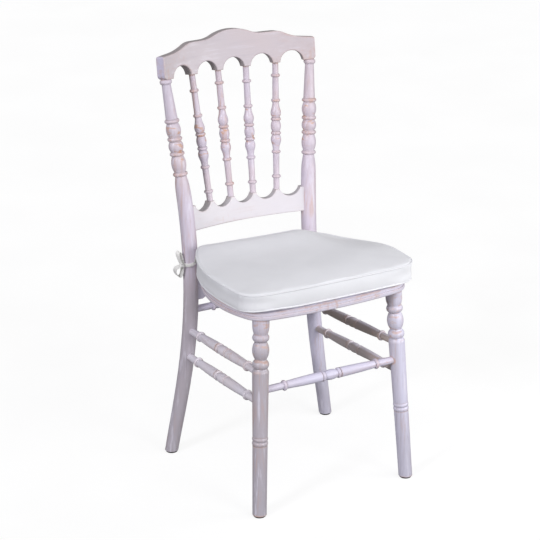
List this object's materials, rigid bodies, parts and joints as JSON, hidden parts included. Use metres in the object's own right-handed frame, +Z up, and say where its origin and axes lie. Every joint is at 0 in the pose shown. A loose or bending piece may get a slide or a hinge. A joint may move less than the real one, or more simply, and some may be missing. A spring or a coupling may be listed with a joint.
{
  "type": "dining chair",
  "caption": "Spindle-back wooden dining chair with turned legs and stretchers, an arched crest rail and a white seat cushion tied to the rear posts.",
  "frame": {"origin": "on the floor under the middle of the chair's bounding box", "axes": "+Z up, the chair faces -Y, +X is on the right seen from the front"},
  "size_m": [0.419, 0.4632, 0.8951],
  "materials": {
    "limed_wood": "lime-washed and lightly rubbed through at rings and edges, matt",
    "seat_board": "plain board, matt",
    "glide_plastic": "matt moulded",
    "cushion_fabric": "smooth plain weave with piped seams",
    "cushion_foam": "open-cell foam",
    "tie_tape": "folded woven tape"
  },
  "bodies": {
    "frame": {"front_leg_left": "limed_wood", "front_leg_right": "limed_wood", "rear_post_left": "limed_wood", "rear_post_right": "limed_wood", "crest_rail": "limed_wood", "lower_back_rail": "limed_wood", "back_spindle_1": "limed_wood", "back_spindle_2": "limed_wood", "back_spindle_3": "limed_wood", "back_spindle_4": "limed_wood", "front_stretcher": "limed_wood", "rear_stretcher": "limed_wood", "side_stretcher_upper_left": "limed_wood", "side_stretcher_upper_right": "limed_wood", "side_stretcher_lower_left": "limed_wood", "side_stretcher_lower_right": "limed_wood", "rear_seat_rail": "limed_wood", "seat_frame_left": "limed_wood", "seat_frame_right": "limed_wood", "seat_frame_rear": "limed_wood", "seat_panel": "seat_board", "seat_dowels": "seat_board", "foot_glide_front_left": "glide_plastic", "foot_glide_front_right": "glide_plastic", "foot_glide_rear_left": "glide_plastic", "foot_glide_rear_right": "glide_plastic", "tie_left": "tie_tape", "tie_right": "tie_tape", "tie_knot_left": "tie_tape", "tie_knot_right": "tie_tape", "tie_bow_left": "tie_tape", "tie_bow_right": "tie_tape"},
    "cushion": {"cushion_cover": "cushion_fabric", "cushion_foam": "cushion_foam"}
  },
  "joints": [
    {"name": "cushion_lift", "type": "hinge", "parent": "frame", "child": "cushion", "pos_m": [0, 0.0926, 0.463], "axis": [-1, 0, 0], "range_deg": [0, 85]}
  ]
}
